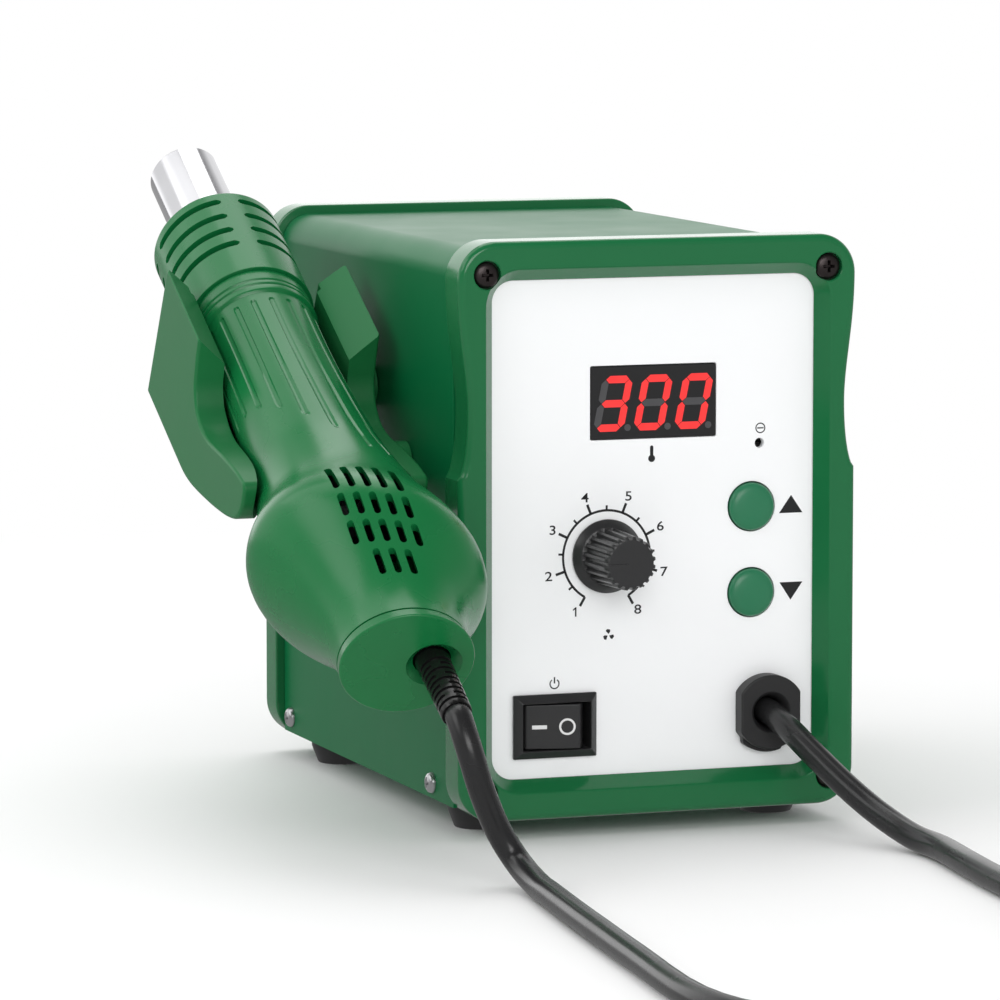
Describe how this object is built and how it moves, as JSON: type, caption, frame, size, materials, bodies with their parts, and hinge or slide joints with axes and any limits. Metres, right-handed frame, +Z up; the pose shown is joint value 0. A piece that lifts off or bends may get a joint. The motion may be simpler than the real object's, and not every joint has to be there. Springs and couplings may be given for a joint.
{
  "type": "hot air rework station",
  "caption": "Bench hot air station: a green box with digital panel, air knob and rocker switch, and a hot air gun resting nozzle up in a side holder.",
  "frame": {"origin": "middle of the bounding box of the station and gun, without the cord, on the bench under the feet", "axes": "+X to the panel's right, +Y from the front panel to the rear, +Z up"},
  "size_m": [0.2134, 0.4022, 0.1543],
  "materials": {
    "green_plastic": "smooth moulded green",
    "green_sheet": "smooth green paint",
    "button_green": "smooth",
    "panel_white": "white, printed",
    "black_plastic": "satin black",
    "black_rubber": "matt",
    "cord_black": "satin",
    "dark_window": "polished",
    "board_green": "satin",
    "dark_screw": "blackened steel",
    "bright_steel": "bright",
    "ceramic": "matt ceramic",
    "bare_aluminium": "satin",
    "core_steel": "laminated, lacquered",
    "winding_copper": "lacquered wire under tape",
    "trimmer_blue": "smooth"
  },
  "bodies": {
    "station": {"base_plate": "green_sheet", "cable_gland": "black_plastic", "cal_trimmer": "trimmer_blue", "control_board": "board_green", "cord_coil": "cord_black", "cord_gun_lead": "cord_black", "cord_panel_lead": "cord_black", "display_board": "board_green", "display_module": "black_plastic", "display_window": "dark_window", "foot_lf": "black_rubber", "foot_lr": "black_rubber", "foot_rf": "black_rubber", "foot_rr": "black_rubber", "frame_screw_front_bl": "dark_screw", "frame_screw_front_br": "dark_screw", "frame_screw_front_tl": "dark_screw", "frame_screw_front_tr": "dark_screw", "frame_screw_rear_bl": "dark_screw", "frame_screw_rear_br": "dark_screw", "frame_screw_rear_tl": "dark_screw", "frame_screw_rear_tr": "dark_screw", "front_frame": "green_plastic", "front_panel": "panel_white", "gun_holder": "green_plastic", "holder_screw_back": "bright_steel", "holder_screw_front": "bright_steel", "inlet_pin_earth": "bright_steel", "inlet_pin_live": "bright_steel", "inlet_pin_neutral": "bright_steel", "potentiometer_body": "bright_steel", "power_inlet": "black_plastic", "rear_frame": "green_plastic", "rear_panel": "green_sheet", "side_screw_lf": "bright_steel", "side_screw_lr": "bright_steel", "side_screw_rf": "bright_steel", "side_screw_rr": "bright_steel", "switch_body": "black_plastic", "tact_switch_down": "black_plastic", "tact_switch_up": "black_plastic", "top_cover": "green_sheet", "transformer_core": "core_steel", "transformer_winding": "winding_copper", "triac_heatsink": "bare_aluminium"},
    "rocker": {"switch_rocker": "black_plastic"},
    "up_button": {"up_button": "button_green"},
    "down_button": {"down_button": "button_green"},
    "knob": {"air_knob": "black_plastic", "knob_shaft": "bright_steel"},
    "trimmer_rotor": {"cal_rotor": "panel_white"},
    "fan": {"fan_impeller": "black_plastic"},
    "gun": {"gun_handle": "green_plastic", "gun_end_cap": "green_plastic", "gun_strain_relief": "black_rubber", "nozzle_collar": "green_plastic", "nozzle_tube": "bright_steel", "heater_core": "ceramic", "fan_frame": "black_plastic"}
  },
  "joints": [
    {"name": "power_rocker", "type": "hinge", "parent": "station", "child": "rocker", "pos_m": [0.0008, -0.03981, 0.0258], "axis": [0, 0, 1], "range_deg": [0, 20]},
    {"name": "up_press", "type": "slide", "parent": "station", "child": "up_button", "axis": [0, 1, 0], "range_m": [0, 0.0008], "stiffness_N_per_m": 400, "springref_m": -0.0005},
    {"name": "down_press", "type": "slide", "parent": "station", "child": "down_button", "axis": [0, 1, 0], "range_m": [0, 0.0008], "stiffness_N_per_m": 400, "springref_m": -0.0005},
    {"name": "air_turn", "type": "hinge", "parent": "station", "child": "knob", "pos_m": [0.01375, -0.04781, 0.0648], "axis": [0, 1, 0], "range_deg": [-60, 240]},
    {"name": "calibration_turn", "type": "hinge", "parent": "station", "child": "trimmer_rotor", "pos_m": [0.05175, -0.03981, 0.0898], "axis": [0, 1, 0], "range_deg": [-105, 105]},
    {"name": "gun_lift", "type": "slide", "parent": "station", "child": "gun", "axis": [0, -0.5, 0.866], "range_m": [0, 0.06]},
    {"name": "fan_spin", "type": "hinge", "parent": "gun", "child": "fan", "pos_m": [-0.04875, -0.03782, 0.0747], "axis": [0, 0.866, 0.5], "continuous": true}
  ]
}
